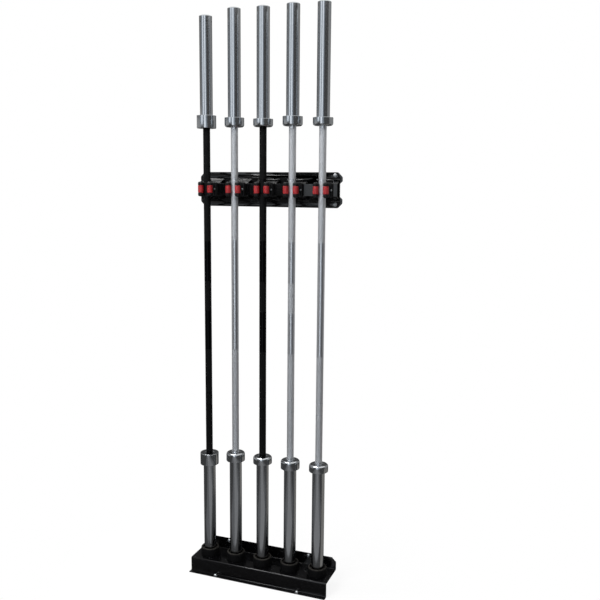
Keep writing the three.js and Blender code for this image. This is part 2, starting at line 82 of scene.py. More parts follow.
def linear(colour):
    """An sRGB hex colour such as #c3282c as the linear RGBA that shaders take."""
    shares = [int(colour[start:start + 2], 16) / 255 for start in (1, 3, 5)]
    return (*[s / 12.92 if s <= 0.04045 else ((s + 0.055) / 1.055) ** 2.4 for s in shares], 1)


# %% A node with its settings and links
def add(tree, kind, inputs=None, **settings):
    """Adds a node. Each input is a value, or another node's socket to link from."""
    made = tree.nodes.new(kind)
    for name, value in settings.items():
        setattr(made, name, value)
    for name, value in (inputs or {}).items():
        if isinstance(value, bpy.types.NodeSocket):
            tree.links.new(value, made.inputs[name])
        else:
            made.inputs[name].default_value = value
    return made


# %% [markdown]
# ## Camera
# The camera was fitted to the bars' ends and collars in the picture: it stands to the right of the
# rack at eye level and looks a little down. Its direction is built from three angles, which is
# easier to check than a rotation typed as numbers.

# %% Camera
CAMERA_PLACE = Vector((1.1843, -2.7181, 1.6156))
CAMERA_YAW = 0.3604
CAMERA_PITCH = 0.1494
CAMERA_ROLL = 0.0089
FOCAL_LENGTH_PX = 760
PICTURE_PX = 600

look = Vector((
    -math.sin(CAMERA_YAW) * math.cos(CAMERA_PITCH),
    math.cos(CAMERA_YAW) * math.cos(CAMERA_PITCH),
    -math.sin(CAMERA_PITCH),
))
level_right = Vector((math.cos(CAMERA_YAW), math.sin(CAMERA_YAW), 0))
level_up = level_right.cross(look)
right = level_right * math.cos(CAMERA_ROLL) + level_up * math.sin(CAMERA_ROLL)
up = level_up * math.cos(CAMERA_ROLL) - level_right * math.sin(CAMERA_ROLL)

camera = bpy.data.objects.new("camera", bpy.data.cameras.new("camera"))
scene.collection.objects.link(camera)
camera.data.lens = camera.data.sensor_width * FOCAL_LENGTH_PX / PICTURE_PX
camera.matrix_world = Matrix.Translation(CAMERA_PLACE) @ Matrix((right, up, -look)).transposed().to_4x4()
scene.camera = camera
scene.view_settings.view_transform = "Standard"
print("lens:", round(camera.data.lens, 2), "mm")

# %% [markdown]
# ## Studio
# Polished steel shows its surroundings, so the surroundings are built first. A room of dark cloth
# with a tall softbox in front and another at the left gives each bar the bright streaks and the
# dark flanks of the picture, and dimmer screens stand for pale walls and floor between them. The
# screens are seen in reflections only. The floor and the world are white to the eye, and the
# floor keeps a soft shadow close to the rack.

# %% World and floor
FILL_LIGHT = 0.55
FLOOR_SIZE = 40
SHADOW_REACH = 0.9
SHADOW_SHARE = 0.12


def seen_directly(tree):
    """1 for rays that show the background: straight, mirrored or through something clear."""
    path = add(tree, "ShaderNodeLightPath")
    mirrored = add(tree, "ShaderNodeMath", {
        0: path.outputs["Is Camera Ray"], 1: path.outputs["Is Glossy Ray"],
    }, operation="MAXIMUM")
    return add(tree, "ShaderNodeMath", {
        0: mirrored.outputs[0], 1: path.outputs["Is Transmission Ray"],
    }, operation="MAXIMUM").outputs[0]


world = bpy.data.worlds.new("white_room")
world.use_nodes = True
scene.world = world
tree = world.node_tree
tree.nodes.clear()
fill = add(tree, "ShaderNodeBackground", {"Color": linear("#ffffff"), "Strength": FILL_LIGHT})
white = add(tree, "ShaderNodeBackground", {"Color": linear("#ffffff"), "Strength": 1})
both = add(tree, "ShaderNodeMixShader", {0: seen_directly(tree), 1: fill.outputs[0], 2: white.outputs[0]})
add(tree, "ShaderNodeOutputWorld", {"Surface": both.outputs[0]})

floor_material = bpy.data.materials.new("white_floor")
floor_material.use_nodes = True
tree = floor_material.node_tree
tree.nodes.clear()
place = add(tree, "ShaderNodeTexCoord")
distance = add(tree, "ShaderNodeVectorMath", {0: place.outputs["Object"]}, operation="LENGTH")
near = add(tree, "ShaderNodeMapRange", {
    "Value": distance.outputs["Value"],
    "From Min": SHADOW_REACH / 3, "From Max": SHADOW_REACH, "To Min": 1 - SHADOW_SHARE, "To Max": 1,
}, interpolation_type="SMOOTHSTEP")
glow_share = add(tree, "ShaderNodeMath", {
    0: near.outputs["Result"], 1: seen_directly(tree),
}, operation="MULTIPLY")
paint = add(tree, "ShaderNodeBsdfDiffuse", {"Color": linear("#f4f4f4")})
glow = add(tree, "ShaderNodeEmission", {"Color": linear("#ffffff"), "Strength": 1})
mix = add(tree, "ShaderNodeMixShader", {0: glow_share.outputs[0], 1: paint.outputs[0], 2: glow.outputs[0]})
add(tree, "ShaderNodeOutputMaterial", {"Surface": mix.outputs[0]})

half = FLOOR_SIZE / 2
floor_mesh = bpy.data.meshes.new("floor")
floor_corners = [(-half, -half, 0), (half, -half, 0), (half, half, 0), (-half, half, 0)]
floor_mesh.from_pydata(floor_corners, [], [(0, 1, 2, 3)])
floor_mesh.materials.append(floor_material)
floor = bpy.data.objects.new("floor", floor_mesh)
scene.collection.objects.link(floor)

# %% Reflection screens
SCREEN_STEPS = 24


def screen(name, points, faces, glow, tint="#ffffff"):
    """A glowing screen that only reflections show."""
    material = bpy.data.materials.new(name)
    material.use_nodes = True
    tree = material.node_tree
    tree.nodes.clear()
    light = add(tree, "ShaderNodeEmission", {"Color": linear(tint), "Strength": glow})
    add(tree, "ShaderNodeOutputMaterial", {"Surface": light.outputs[0]})
    mesh = bpy.data.meshes.new(name)
    mesh.from_pydata(points, [], faces)
    mesh.materials.append(material)
    obj = bpy.data.objects.new(name, mesh)
    scene.collection.objects.link(obj)
    obj.visible_camera = obj.visible_diffuse = obj.visible_shadow = False


def curtain(name, from_deg, to_deg, low, high, distance, glow, tint="#ffffff"):
    """A curved screen round the rack. Angles go from straight ahead of it towards its right."""
    points, faces = [], []
    for step in range(SCREEN_STEPS + 1):
        turn = math.radians(from_deg + (to_deg - from_deg) * step / SCREEN_STEPS)
        points += [(distance * math.sin(turn), -distance * math.cos(turn), z) for z in (low, high)]
    for step in range(SCREEN_STEPS):
        first = 2 * step
        faces.append((first, first + 2, first + 3, first + 1))
    screen(name, points, faces, glow, tint)


def sheet(name, x, y, z, glow, tint="#ffffff"):
    """A level screen, from its limits in X and Y."""
    points = [(x[0], y[0], z), (x[1], y[0], z), (x[1], y[1], z), (x[0], y[1], z)]
    screen(name, points, [(0, 1, 2, 3)], glow, tint)


curtain("dark_cloth", -180, 180, -0.2, 3.6, 3.2, 0.08)
curtain("left_haze", -135, -41, 2.2, 3.5, 3.1, 0.2)
curtain("lower_left_haze", -135, -45, 0, 2.2, 3.1, 0.36)
curtain("upper_haze", -60, 30, 1.9, 3.5, 3.0, 0.42, "#dbe6f2")
curtain("lower_haze", -2, 34, 0, 1.9, 3.0, 0.42, "#dbe6f2")
curtain("left_softbox", -42, -22, 1.9, 3.5, 2.8, 1.2, "#eef4fb")
curtain("front_softbox", -6, 13, 0, 3.5, 2.8, 1.3, "#eef4fb")
curtain("right_haze", 95, 165, 0, 3.5, 3.1, 0.3)
sheet("floor_cloth", (-3.2, 3.2), (-3.2, 3.2), 0.0005, 0.06)
sheet("floor_haze", (-0.6, 0.95), (-2.9, -0.2), 0.001, 0.17, "#f0f1f4")
sheet("floor_glow", (-0.12, 0.62), (-2.9, -0.2), 0.0015, 0.28, "#f4f4f6")
sheet("floor_side", (0.4, 2), (-0.05, 1.2), 0.001, 0.26, "#f6f1ea")

# %% Lamps
KEY_POWER = 42
KEY_SIZE = 1.6
KEY_PLACE = Vector((-0.9, -2.7, 2.9))
KEY_TARGET = Vector((0, 0, 1.2))

key = bpy.data.objects.new("key", bpy.data.lights.new("key", "AREA"))
key.data.energy = KEY_POWER
key.data.size = KEY_SIZE
key.location = KEY_PLACE
key.rotation_euler = (KEY_TARGET - KEY_PLACE).to_track_quat("-Z", "Y").to_euler()
key.visible_glossy = False
scene.collection.objects.link(key)

# %% [markdown]
# ## Powder coated steel
# The tray and the bracket are mild steel sheet, bent, sprayed with dry black polyester powder and
# baked. The eye reads it by a high gloss over a faint orange peel, a ripple about 2.5 mm long. The
# paint is a dielectric, so it isn't metallic, and its reflection grows at a flat angle.

# %% Powder coat
def surface(name):
    """A new material's tree, its output still to be linked, and the object's own coordinates."""
    material = bpy.data.materials.new(name)
    material.use_nodes = True
    material.node_tree.nodes.clear()
    return material, material.node_tree, add(material.node_tree, "ShaderNodeTexCoord").outputs["Object"]


def per_mm(wavelength):
    """A noise texture's scale for a pattern that repeats about every so many millimetres."""
    return 1 / (wavelength * MM)


powder_coat, tree, place = surface("black_polyester_powder_coat")
peel = add(tree, "ShaderNodeTexNoise", {"Vector": place, "Scale": per_mm(2.5), "Detail": 2})
rubbed = add(tree, "ShaderNodeTexNoise", {
    "Vector": place, "Scale": per_mm(60), "Detail": 6, "Roughness": 0.65,
})
gloss = add(tree, "ShaderNodeMapRange", {
    "Value": rubbed.outputs["Fac"], "From Min": 0.35, "From Max": 0.7, "To Min": 0.1, "To Max": 0.2,
})
ripple = add(tree, "ShaderNodeBump", {
    "Height": peel.outputs["Fac"], "Strength": 0.05, "Distance": 0.2 * MM,
})
paint = add(tree, "ShaderNodeBsdfPrincipled", {
    "Base Color": linear("#070708"), "Roughness": gloss.outputs["Result"], "Normal": ripple.outputs[0],
    "IOR": 1.5,
})
add(tree, "ShaderNodeOutputMaterial", {"Surface": paint.outputs[0]})

# %% [markdown]
# ## Moulded nylon
# The clip housings and jaws are glass filled nylon from a spark eroded mould. That leaves a fine
# even grain that scatters the light, so the black looks softer than the paint beside it.

# %% Nylon
nylon, tree, place = surface("black_moulded_nylon")
grain = add(tree, "ShaderNodeTexNoise", {"Vector": place, "Scale": per_mm(0.9), "Detail": 3})
ripple = add(tree, "ShaderNodeBump", {
    "Height": grain.outputs["Fac"], "Strength": 0.3, "Distance": 0.1 * MM,
})
cloud = add(tree, "ShaderNodeTexNoise", {"Vector": place, "Scale": per_mm(18), "Detail": 4})
shade = add(tree, "ShaderNodeMix", {
    "Factor": cloud.outputs["Fac"], 6: linear("#080809"), 7: linear("#0f0f10"),
}, data_type="RGBA")
plastic = add(tree, "ShaderNodeBsdfPrincipled", {
    "Base Color": shade.outputs[2], "Roughness": 0.5, "Normal": ripple.outputs[0], "IOR": 1.53,
    "Specular IOR Level": 0.25,
})
add(tree, "ShaderNodeOutputMaterial", {"Surface": plastic.outputs[0]})

# %% [markdown]
# ## Rubber
# The cups are black moulded rubber that has gathered dust, and the rollers are red rubber with a
# satin skin. Rubber has a low sheen and no sharp reflection. The dust lies in patches, and its pale
# tone is kept to the faces that point up: that part is painted top light, which shows the rims
# against the black.

# %% Rubber
cup_rubber, tree, place = surface("dusty_black_rubber_painted_top_light")
dust = add(tree, "ShaderNodeTexNoise", {"Vector": place, "Scale": per_mm(14), "Detail": 8, "Roughness": 0.7})
patches = add(tree, "ShaderNodeMapRange", {"Value": dust.outputs["Fac"], "From Min": 0.3, "From Max": 0.6})
# The pale tone is kept to faces that point up, which is painted top light on the rims; the patches are dust.
slope = add(tree, "ShaderNodeSeparateXYZ", {0: add(tree, "ShaderNodeNewGeometry").outputs["Normal"]})
level = add(tree, "ShaderNodeMapRange", {"Value": slope.outputs["Z"], "From Min": 0.2, "From Max": 0.8})
settled = add(tree, "ShaderNodeMath", {
    0: patches.outputs["Result"], 1: level.outputs["Result"],
}, operation="MULTIPLY")
shade = add(tree, "ShaderNodeMix", {
    "Factor": settled.outputs[0], 6: linear("#060607"), 7: linear("#2e2c29"),
}, data_type="RGBA")
pores = add(tree, "ShaderNodeTexNoise", {"Vector": place, "Scale": per_mm(1.2), "Detail": 2})
ripple = add(tree, "ShaderNodeBump", {
    "Height": pores.outputs["Fac"], "Strength": 0.35, "Distance": 0.15 * MM,
})
rubber = add(tree, "ShaderNodeBsdfPrincipled", {
    "Base Color": shade.outputs[2], "Roughness": 0.7, "Normal": ripple.outputs[0], "IOR": 1.52,
    "Specular IOR Level": 0.12,
})
add(tree, "ShaderNodeOutputMaterial", {"Surface": rubber.outputs[0]})

red_rubber, tree, place = surface("red_moulded_rubber")
scuff = add(tree, "ShaderNodeTexNoise", {"Vector": place, "Scale": per_mm(7), "Detail": 6, "Roughness": 0.6})
shade = add(tree, "ShaderNodeMix", {
    "Factor": scuff.outputs["Fac"], 6: linear("#7c0f13"), 7: linear("#9c1b20"),
}, data_type="RGBA")
ripple = add(tree, "ShaderNodeBump", {
    "Height": scuff.outputs["Fac"], "Strength": 0.2, "Distance": 0.2 * MM,
})
rubber = add(tree, "ShaderNodeBsdfPrincipled", {
    "Base Color": shade.outputs[2], "Roughness": 0.42, "Normal": ripple.outputs[0], "IOR": 1.52,
})
add(tree, "ShaderNodeOutputMaterial", {"Surface": rubber.outputs[0]})

# %% [markdown]
# ## Steel finishes
# The bolts are zinc plated, bright with a slight cloudiness. The sleeves are turned on a lathe and
# hard chromed: the cutting marks run round them, finer than a picture can show, so they are drawn
# 0.8 mm apart as a faint bump. Bare and blackened shafts differ only in colour and roughness, and
# a knurl is cut through the same plating.

# %% Steel
def steel(name, bright, dull, smooth, rough, marks=0.0):
    """A plated steel between two colours and two roughnesses, with turning marks of some strength."""
    material, tree, place = surface(name)
    cloud = add(tree, "ShaderNodeTexNoise", {
        "Vector": place, "Scale": per_mm(25), "Detail": 6, "Roughness": 0.6,
    })
    shade = add(tree, "ShaderNodeMix", {
        "Factor": cloud.outputs["Fac"], 6: linear(bright), 7: linear(dull),
    }, data_type="RGBA")
    polish = add(tree, "ShaderNodeMapRange", {
        "Value": cloud.outputs["Fac"], "From Min": 0.3, "From Max": 0.7, "To Min": smooth, "To Max": rough,
    })
    flat = add(tree, "ShaderNodeMapping", {"Vector": place, "Scale": (0.02, 0.02, 1)})
    turning = add(tree, "ShaderNodeTexNoise", {"Vector": flat.outputs[0], "Scale": per_mm(0.8), "Detail": 2})
    ripple = add(tree, "ShaderNodeBump", {
        "Height": turning.outputs["Fac"], "Strength": marks, "Distance": 0.02 * MM,
    })
    metal = add(tree, "ShaderNodeBsdfPrincipled", {
        "Base Color": shade.outputs[2], "Metallic": 1, "Roughness": polish.outputs["Result"],
        "Normal": ripple.outputs[0],
    })
    add(tree, "ShaderNodeOutputMaterial", {"Surface": metal.outputs[0]})
    return material


zinc = steel("bright_zinc_plate", "#d3d5d7", "#b4b7b9", 0.22, 0.38)
spring_steel = steel("blue_grey_spring_steel", "#8b8e92", "#6f7276", 0.3, 0.42)
chrome = steel("turned_hard_chrome", "#cdd0d3", "#c6c9cc", 0.13, 0.16, 0.1)
smooth_shaft = steel("ground_chromed_shaft", "#e8eaed", "#dcdfe3", 0.3, 0.38, 0.2)
knurled_shaft = steel("knurled_chromed_shaft", "#f2f3f5", "#e6e8ea", 0.42, 0.52)
smooth_black = steel("ground_black_oxide_shaft_and_painted_hole_shade", "#1b1b1c", "#131314", 0.3, 0.4, 0.2)
knurled_black = steel("knurled_black_oxide_shaft", "#2b2b2b", "#1f1f1f", 0.4, 0.5)

# %% [markdown]
# ## Drawing tools
# Nearly everything here is either turned on a lathe or a flat outline with a thickness, so two
# functions make those shapes from a few corners. Corners take a radius, because a real edge is
# never perfectly sharp, and that small round is what catches the light.

# %% Corners, turned shapes and prisms
def rounded(corners, steps=5):
    """The points of an outline from (x, y, radius) corners, each radius drawn as an arc."""
    places = [complex(corner[0], corner[1]) for corner in corners]
    points = []
    for index, (here, corner) in enumerate(zip(places, corners)):
        radius = corner[2] if len(corner) > 2 else 0
        if radius == 0:
            points.append(here)
            continue
        back = places[index - 1] - here
        ahead = places[(index + 1) % len(places)] - here
        back, ahead = back / abs(back), ahead / abs(ahead)
        half = abs(cmath.phase(ahead / back)) / 2
        towards = back + ahead
        middle = here + towards / abs(towards) * radius / math.sin(half)
        start = here + back * radius / math.tan(half) - middle
        end = here + ahead * radius / math.tan(half) - middle
        turn = cmath.phase(end / start)
        points += [middle + start * cmath.rect(1, turn * step / steps) for step in range(steps + 1)]
    return [(point.real, point.imag) for point in points]


def turned(profile, sides=64):
    """Points and faces of a (radius, height) profile turned round Z. It closes on itself off the axis."""
    points, faces, rings = [], [], []
    for radius, height in profile:
        count = sides if radius > 0 else 1
        rings.append(range(len(points), len(points) + count))
        for step in range(count):
            turn = 2 * math.pi * step / sides
            points.append((radius * math.cos(turn), radius * math.sin(turn), height))
    pairs = list(zip(rings, rings[1:]))
    if profile[0][0] > 0:
        pairs.append((rings[-1], rings[0]))
    for low, high in pairs:
        for step in range(sides):
            around = (step, step + 1)
            corners = [low[k % len(low)] for k in around] + [high[k % len(high)] for k in reversed(around)]
            face = list(dict.fromkeys(corners))
            if len(face) > 2:
                faces.append(face)
    return points, faces


ALONG_X = Matrix(((0, 0, 1), (1, 0, 0), (0, 1, 0)))
ALONG_Y = Matrix(((1, 0, 0), (0, 0, 1), (0, 1, 0)))
ALONG_Z = Matrix.Identity(3)


def prism(outline, low, high, along=ALONG_Z):
    """Points and faces of a flat outline, drawn out from low to high along one axis."""
    count = len(outline)
    points = [along @ Vector((u, v, w)) for w in (low, high) for u, v in outline]
    faces = [[k, (k + 1) % count, count + (k + 1) % count, count + k] for k in range(count)]
    return points, faces + [list(range(count)), list(range(count, 2 * count))]


# %% Objects from shapes
SHARP_DEG = 35


def tidy(obj):
    """Merges doubles, points the faces outwards and shades smooth except across sharp edges."""
    mesh = bmesh.new()
    mesh.from_mesh(obj.data)
    bmesh.ops.remove_doubles(mesh, verts=mesh.verts, dist=0.0005)
    bmesh.ops.recalc_face_normals(mesh, faces=mesh.faces)
    for face in mesh.faces:
        face.smooth = True
    for edge in mesh.edges:
        edge.smooth = edge.calc_face_angle(0) < math.radians(SHARP_DEG)
    mesh.to_mesh(obj.data)
    mesh.free()
    return obj


def solid(name, shape, material=None):
    """An object in millimetres from points and faces."""
    mesh = bpy.data.meshes.new(name)
    mesh.from_pydata(shape[0], [], shape[1])
    if material:
        mesh.materials.append(material)
    obj = bpy.data.objects.new(name, mesh)
    scene.collection.objects.link(obj)
    return tidy(obj)


def baked(obj):
    """Turns the modifiers' result into the object's own plain mesh."""
    graph = bpy.context.evaluated_depsgraph_get()
    mesh = bpy.data.meshes.new_from_object(obj.evaluated_get(graph))
    obj.modifiers.clear()
    obj.data = mesh
    return obj


def eased(obj, width, segments=2):
    """Rounds every sharp edge by a small bevel."""
    bevel = obj.modifiers.new("ease", "BEVEL")
    bevel.width = width
    bevel.segments = segments
    bevel.limit_method = "ANGLE"
    bevel.angle_limit = math.radians(SHARP_DEG)
    return tidy(baked(obj))


def carved(obj, tools, operation="DIFFERENCE"):
    """Cuts other objects away, joins them on, or keeps what they share, and removes them."""
    for tool in tools:
        modifier = obj.modifiers.new("carve", "BOOLEAN")
        modifier.operation = operation
        modifier.solver = "EXACT"
        modifier.object = tool
    baked(obj)
    for tool in tools:
        bpy.data.objects.remove(tool)
    return tidy(obj)


def moved(obj, x=0, y=0, z=0):
    """Shifts a piece's own points."""
    obj.data.transform(Matrix.Translation((x, y, z)))
    return obj


def handed(obj, body, nodes):
    """Turns a finished piece to metres and gives it to a body, in the place of its plain solids."""
    obj.data.transform(Matrix.Scale(MM, 4))
    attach(obj, body)
    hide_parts(*nodes)
    print(f"{obj.name}: {len(obj.data.polygons)} faces on {body}")


# %% [markdown]
# ## Repeats
# Bolts, screws, cups and housings stand in even rows, so one Geometry Nodes tree sets copies of a
# piece on the points of a grid. Changing the number or the spacing changes every row at once. The
# copies are realised and given their material at the end, because instances don't survive export.

# %% The grid tree
grid_tree = bpy.data.node_groups.new("pieces_on_a_grid", "GeometryNodeTree")
grid_sockets = {}
for label, kind in (
    ("Piece", "NodeSocketGeometry"), ("Columns", "NodeSocketInt"), ("Rows", "NodeSocketInt"),
    ("Width", "NodeSocketFloat"), ("Height", "NodeSocketFloat"), ("Material", "NodeSocketMaterial"),
):
    grid_sockets[label] = grid_tree.interface.new_socket(label, in_out="INPUT", socket_type=kind)
grid_tree.interface.new_socket("Copies", in_out="OUTPUT", socket_type="NodeSocketGeometry")
given = add(grid_tree, "NodeGroupInput").outputs
grid = add(grid_tree, "GeometryNodeMeshGrid", {
    "Size X": given["Width"], "Size Y": given["Height"],
    "Vertices X": given["Columns"], "Vertices Y": given["Rows"],
})
copies = add(grid_tree, "GeometryNodeInstanceOnPoints", {
    "Points": grid.outputs["Mesh"], "Instance": given["Piece"],
})
real = add(grid_tree, "GeometryNodeRealizeInstances", {"Geometry": copies.outputs[0]})
painted = add(grid_tree, "GeometryNodeSetMaterial", {
    "Geometry": real.outputs[0], "Material": given["Material"],
})
add(grid_tree, "NodeGroupOutput", {"Copies": painted.outputs[0]})


def on_grid(obj, columns, rows, width, height, material):
    """Repeats an upright piece over a grid in X and Y, centred on the origin."""
    modifier = obj.modifiers.new("grid", "NODES")
    modifier.node_group = grid_tree
    values = {"Columns": columns, "Rows": rows, "Width": width, "Height": height, "Material": material}
    for label, value in values.items():
        modifier[grid_sockets[label].identifier] = value
    return tidy(baked(obj))


def turned_to_front(obj):
    """Tips an upright piece over, so that its top faces the room."""
    obj.data.transform(Matrix.Rotation(math.pi / 2, 4, "X"))
    return obj


# %% [markdown]
# ## Base tray
# One sheet, 3 mm thick, goes up the wall, forward as the top, down as the front and forward again
# as the foot. A press brake leaves a round at each bend, and the bright line along the front bend
# is the strip lamp overhead, seen in it. The section is drawn once and run along the wall; the corner
# cuts and bolt holes are carved out of it, as a laser would cut them.

# %% Tray
SHEET = 3
BEND = 2
OVERRUN = 5
EDGE = 0.4
HOLE_RADIUS = 5.5

tray_low, tray_high = (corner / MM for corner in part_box("base_tray"))
wall_y = tray_high.y
foot_y = tray_low.y
AXIS_TO_FRONT = 61
AXIS_TO_WALL = 65
TRAY_TOP = 59
TRAY_CORNER = 17.5
TRAY_BOLT_SPREAD = 363
TRAY_BOLT_EDGE = 10.5
FOOT_BOLT_EDGE = 9
axis_y = wall_y - AXIS_TO_WALL
front_y = axis_y - AXIS_TO_FRONT
tray_x = tray_high.x

section = rounded([
    (wall_y, tray_high.z), (wall_y - SHEET, tray_high.z), (wall_y - SHEET, TRAY_TOP, BEND),
    (front_y, TRAY_TOP, BEND + SHEET), (front_y, SHEET, BEND), (foot_y, SHEET), (foot_y, 0),
    (front_y + SHEET, 0, BEND + SHEET), (front_y + SHEET, TRAY_TOP - SHEET, BEND),
    (wall_y, TRAY_TOP - SHEET, BEND + SHEET),
], steps=7)
cut_z = tray_high.z - TRAY_CORNER
blank = [
    (-tray_x, -OVERRUN), (tray_x, -OVERRUN), (tray_x, cut_z), (tray_x - TRAY_CORNER, tray_high.z),
    (TRAY_CORNER - tray_x, tray_high.z), (-tray_x, cut_z),
]
tray = solid("tray_sheet", prism(section, -tray_x - OVERRUN, tray_x + OVERRUN, ALONG_X), powder_coat)
outline = solid("tray_blank", prism(blank, foot_y - OVERRUN, wall_y + OVERRUN, ALONG_Y))
carved(tray, [outline], "INTERSECT")
hole = turned([
    (0, -OVERRUN), (HOLE_RADIUS, -OVERRUN), (HOLE_RADIUS, SHEET + OVERRUN), (0, SHEET + OVERRUN),
], 32)
tray_bolt_z = tray_high.z - TRAY_BOLT_EDGE
foot_bolt_y = foot_y + FOOT_BOLT_EDGE
drills = []
for x in (-TRAY_BOLT_SPREAD / 2, TRAY_BOLT_SPREAD / 2):
    drills.append(moved(turned_to_front(solid("drill", hole)), x, wall_y, tray_bolt_z))
    drills.append(moved(solid("drill", hole), x, foot_bolt_y, 0))
carved(tray, drills)
eased(tray, EDGE)
handed(tray, "rack", ["base_tray"])

# %% [markdown]
# ## Wall bracket
# A flat plate with lobes at its corners goes on the wall, and a rail of hat section is welded to
# its front. The rail's sloping sides have notches between the clips. The plate is an outline with
# a thickness; the rail is a section run along the wall, kept only where the notched blank is.

# %% Bracket
bracket_low, bracket_high = (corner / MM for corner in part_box("wall_bracket"))
clip_z = (bracket_low.z + bracket_high.z) / 2
LOBE_CORNER = 18
LOBE_STEP = 9
RAIL_LENGTH = 584
RAIL_HEIGHT = 50
RAIL_DEPTH = 39
RAIL_WEB_RISE = 15
NOTCH_WIDTH = 32
NOTCH_SILL = 2
WELD_ROUND = 6
WELD_DEPTH = 1
PLATE_BOLT_SPREAD = 546
PLATE_BOLT_RISE = 109
bar_x = {k: sum(corner.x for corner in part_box(f"cup_{k}")) / 2 / MM for k in BARS}
pitch = bar_x[2] - bar_x[1]


def mirrored(corners):
    """A right-hand half outline, bottom to top, completed with its left half."""
    return corners + [(-x, *rest) for x, *rest in reversed(corners)]


plate_x = bracket_high.x
plate_z = (bracket_high.z - bracket_low.z) / 2
waist_x = RAIL_LENGTH / 2
waist_z = RAIL_HEIGHT / 2
quarter = [
    (waist_x, waist_z, 3), (plate_x, waist_z + LOBE_STEP, 6),
    (plate_x, plate_z - LOBE_CORNER, 9), (plate_x - LOBE_CORNER, plate_z, 9),
]
right_half = [(x, -z, r) for x, z, r in reversed(quarter)] + quarter
plate_face = rounded(mirrored(right_half))
plate = solid("bracket_plate", prism(plate_face, wall_y - SHEET, wall_y, ALONG_Y), powder_coat)
drills = []
for x in (-PLATE_BOLT_SPREAD / 2, PLATE_BOLT_SPREAD / 2):
    for z in (-PLATE_BOLT_RISE / 2, PLATE_BOLT_RISE / 2):
        drills.append(moved(turned_to_front(solid("drill", hole)), x, wall_y, z))
carved(plate, drills)
eased(plate, EDGE)

rail_y = wall_y - RAIL_DEPTH
weld_y = wall_y - SHEET
slope = RAIL_WEB_RISE / (weld_y - rail_y)
web = SHEET * math.hypot(1, slope)
root_z = waist_z + RAIL_WEB_RISE
weld_z = root_z + WELD_ROUND
outer = [
    (weld_y + WELD_DEPTH, weld_z), (weld_y, weld_z), (weld_y, root_z, WELD_ROUND),
    (rail_y, waist_z, BEND + SHEET),
]
inner = [
    (rail_y + SHEET, waist_z + slope * SHEET - web, BEND),
    (weld_y, root_z - web), (weld_y + WELD_DEPTH, root_z - web),
]
upper = outer + [(y, -z, *r) for y, z, *r in reversed(outer)]
lower = [(y, -z, *r) for y, z, *r in reversed(inner)] + inner
rail = solid("bracket_rail", prism(rounded(upper + lower, 7), -waist_x - OVERRUN, waist_x + OVERRUN, ALONG_X))
top = weld_z + OVERRUN
sill = waist_z - NOTCH_SILL
edge = [(-waist_x, top)]
for k in BARS[:-1]:
    middle = (bar_x[k] + bar_x[k + 1]) / 2
    left, right_side = middle - NOTCH_WIDTH / 2, middle + NOTCH_WIDTH / 2
    edge += [(left, top), (left, sill), (right_side, sill), (right_side, top)]
edge.append((waist_x, top))
notched = edge + [(x, -z) for x, z in reversed(edge)]
carved(rail, [solid("rail_blank", prism(notched, rail_y - OVERRUN, wall_y, ALONG_Y))], "INTERSECT")
eased(rail, EDGE)
rail.data.materials.append(powder_coat)
carved(plate, [rail], "UNION")
plate.name = "welded_bracket"
moved(plate, z=clip_z)
handed(plate, "rack", ["wall_bracket"])

# %% [markdown]
# ## Bolts
# Button head bolts hold the rack: a low dome with a hexagon socket, over a plain washer. The head
# is turned, its socket carved once, and the grid tree sets the copies at the corners.

# %% Bolts
BOLT_RADIUS = 5
WASHER_RADIUS = 8.5
WASHER_THICKNESS = 2
HEAD_RADIUS = 7.5
HEAD_HEIGHT = 6
SOCKET_RADIUS = 3.4
SOCKET_DEPTH = 3
CROWN_SHARES = [1, 0.97, 0.88, 0.74, 0.56, 0.36, 0.18, 0]
RIM_SHARE = 0.25


def button_bolt(name):
    """A domed bolt on its washer, upright, with its seat at height 0."""
    seat = WASHER_THICKNESS
    rim = seat + HEAD_HEIGHT * RIM_SHARE
    crown = [
        (HEAD_RADIUS * share, rim + HEAD_HEIGHT * (1 - RIM_SHARE) * math.sqrt(1 - share ** 2))
        for share in CROWN_SHARES
    ]
    profile = [
        (0, -SHEET), (BOLT_RADIUS, -SHEET), (BOLT_RADIUS, 0),
        (WASHER_RADIUS - EDGE, 0), (WASHER_RADIUS, EDGE), (WASHER_RADIUS, seat - EDGE),
        (WASHER_RADIUS - EDGE, seat), (HEAD_RADIUS, seat), *crown,
    ]
    head = solid(name, turned(profile, 32))
    top = seat + HEAD_HEIGHT
    bottom = top - SOCKET_DEPTH
    socket = solid("socket", turned([
        (0, bottom), (SOCKET_RADIUS, bottom), (SOCKET_RADIUS, top + OVERRUN), (0, top + OVERRUN),
    ], 6))
    return carved(head, [socket])


bracket_bolts = on_grid(button_bolt("bracket_bolts"), 2, 2, PLATE_BOLT_SPREAD, PLATE_BOLT_RISE, zinc)
moved(turned_to_front(bracket_bolts), 0, wall_y - SHEET, clip_z)
handed(bracket_bolts, "rack", [f"bracket_bolt_{k}" for k in range(1, 5)])
wall_bolts = on_grid(button_bolt("tray_wall_bolts"), 2, 1, TRAY_BOLT_SPREAD, 0, zinc)
moved(turned_to_front(wall_bolts), 0, wall_y - SHEET, tray_bolt_z)
handed(wall_bolts, "rack", ["tray_wall_bolt_1", "tray_wall_bolt_2"])
floor_bolts = on_grid(button_bolt("tray_floor_bolts"), 2, 1, TRAY_BOLT_SPREAD, 0, zinc)
moved(floor_bolts, 0, foot_bolt_y, SHEET)
handed(floor_bolts, "rack", ["tray_floor_bolt_1", "tray_floor_bolt_2"])

# %% [markdown]
# ## Cups
# Each cup is a thick ring of moulded rubber with a floor inside, on which a bar's end stands. It
# is a pure lathe shape: a generous round on the outside of the rim and a small lead-in inside.

# %% Cups
CUP_RADIUS = 39.5
CUP_BORE = 30
CUP_HEIGHT = 34
CUP_FLOOR = 25.5
CUP_DRAFT = 1.5

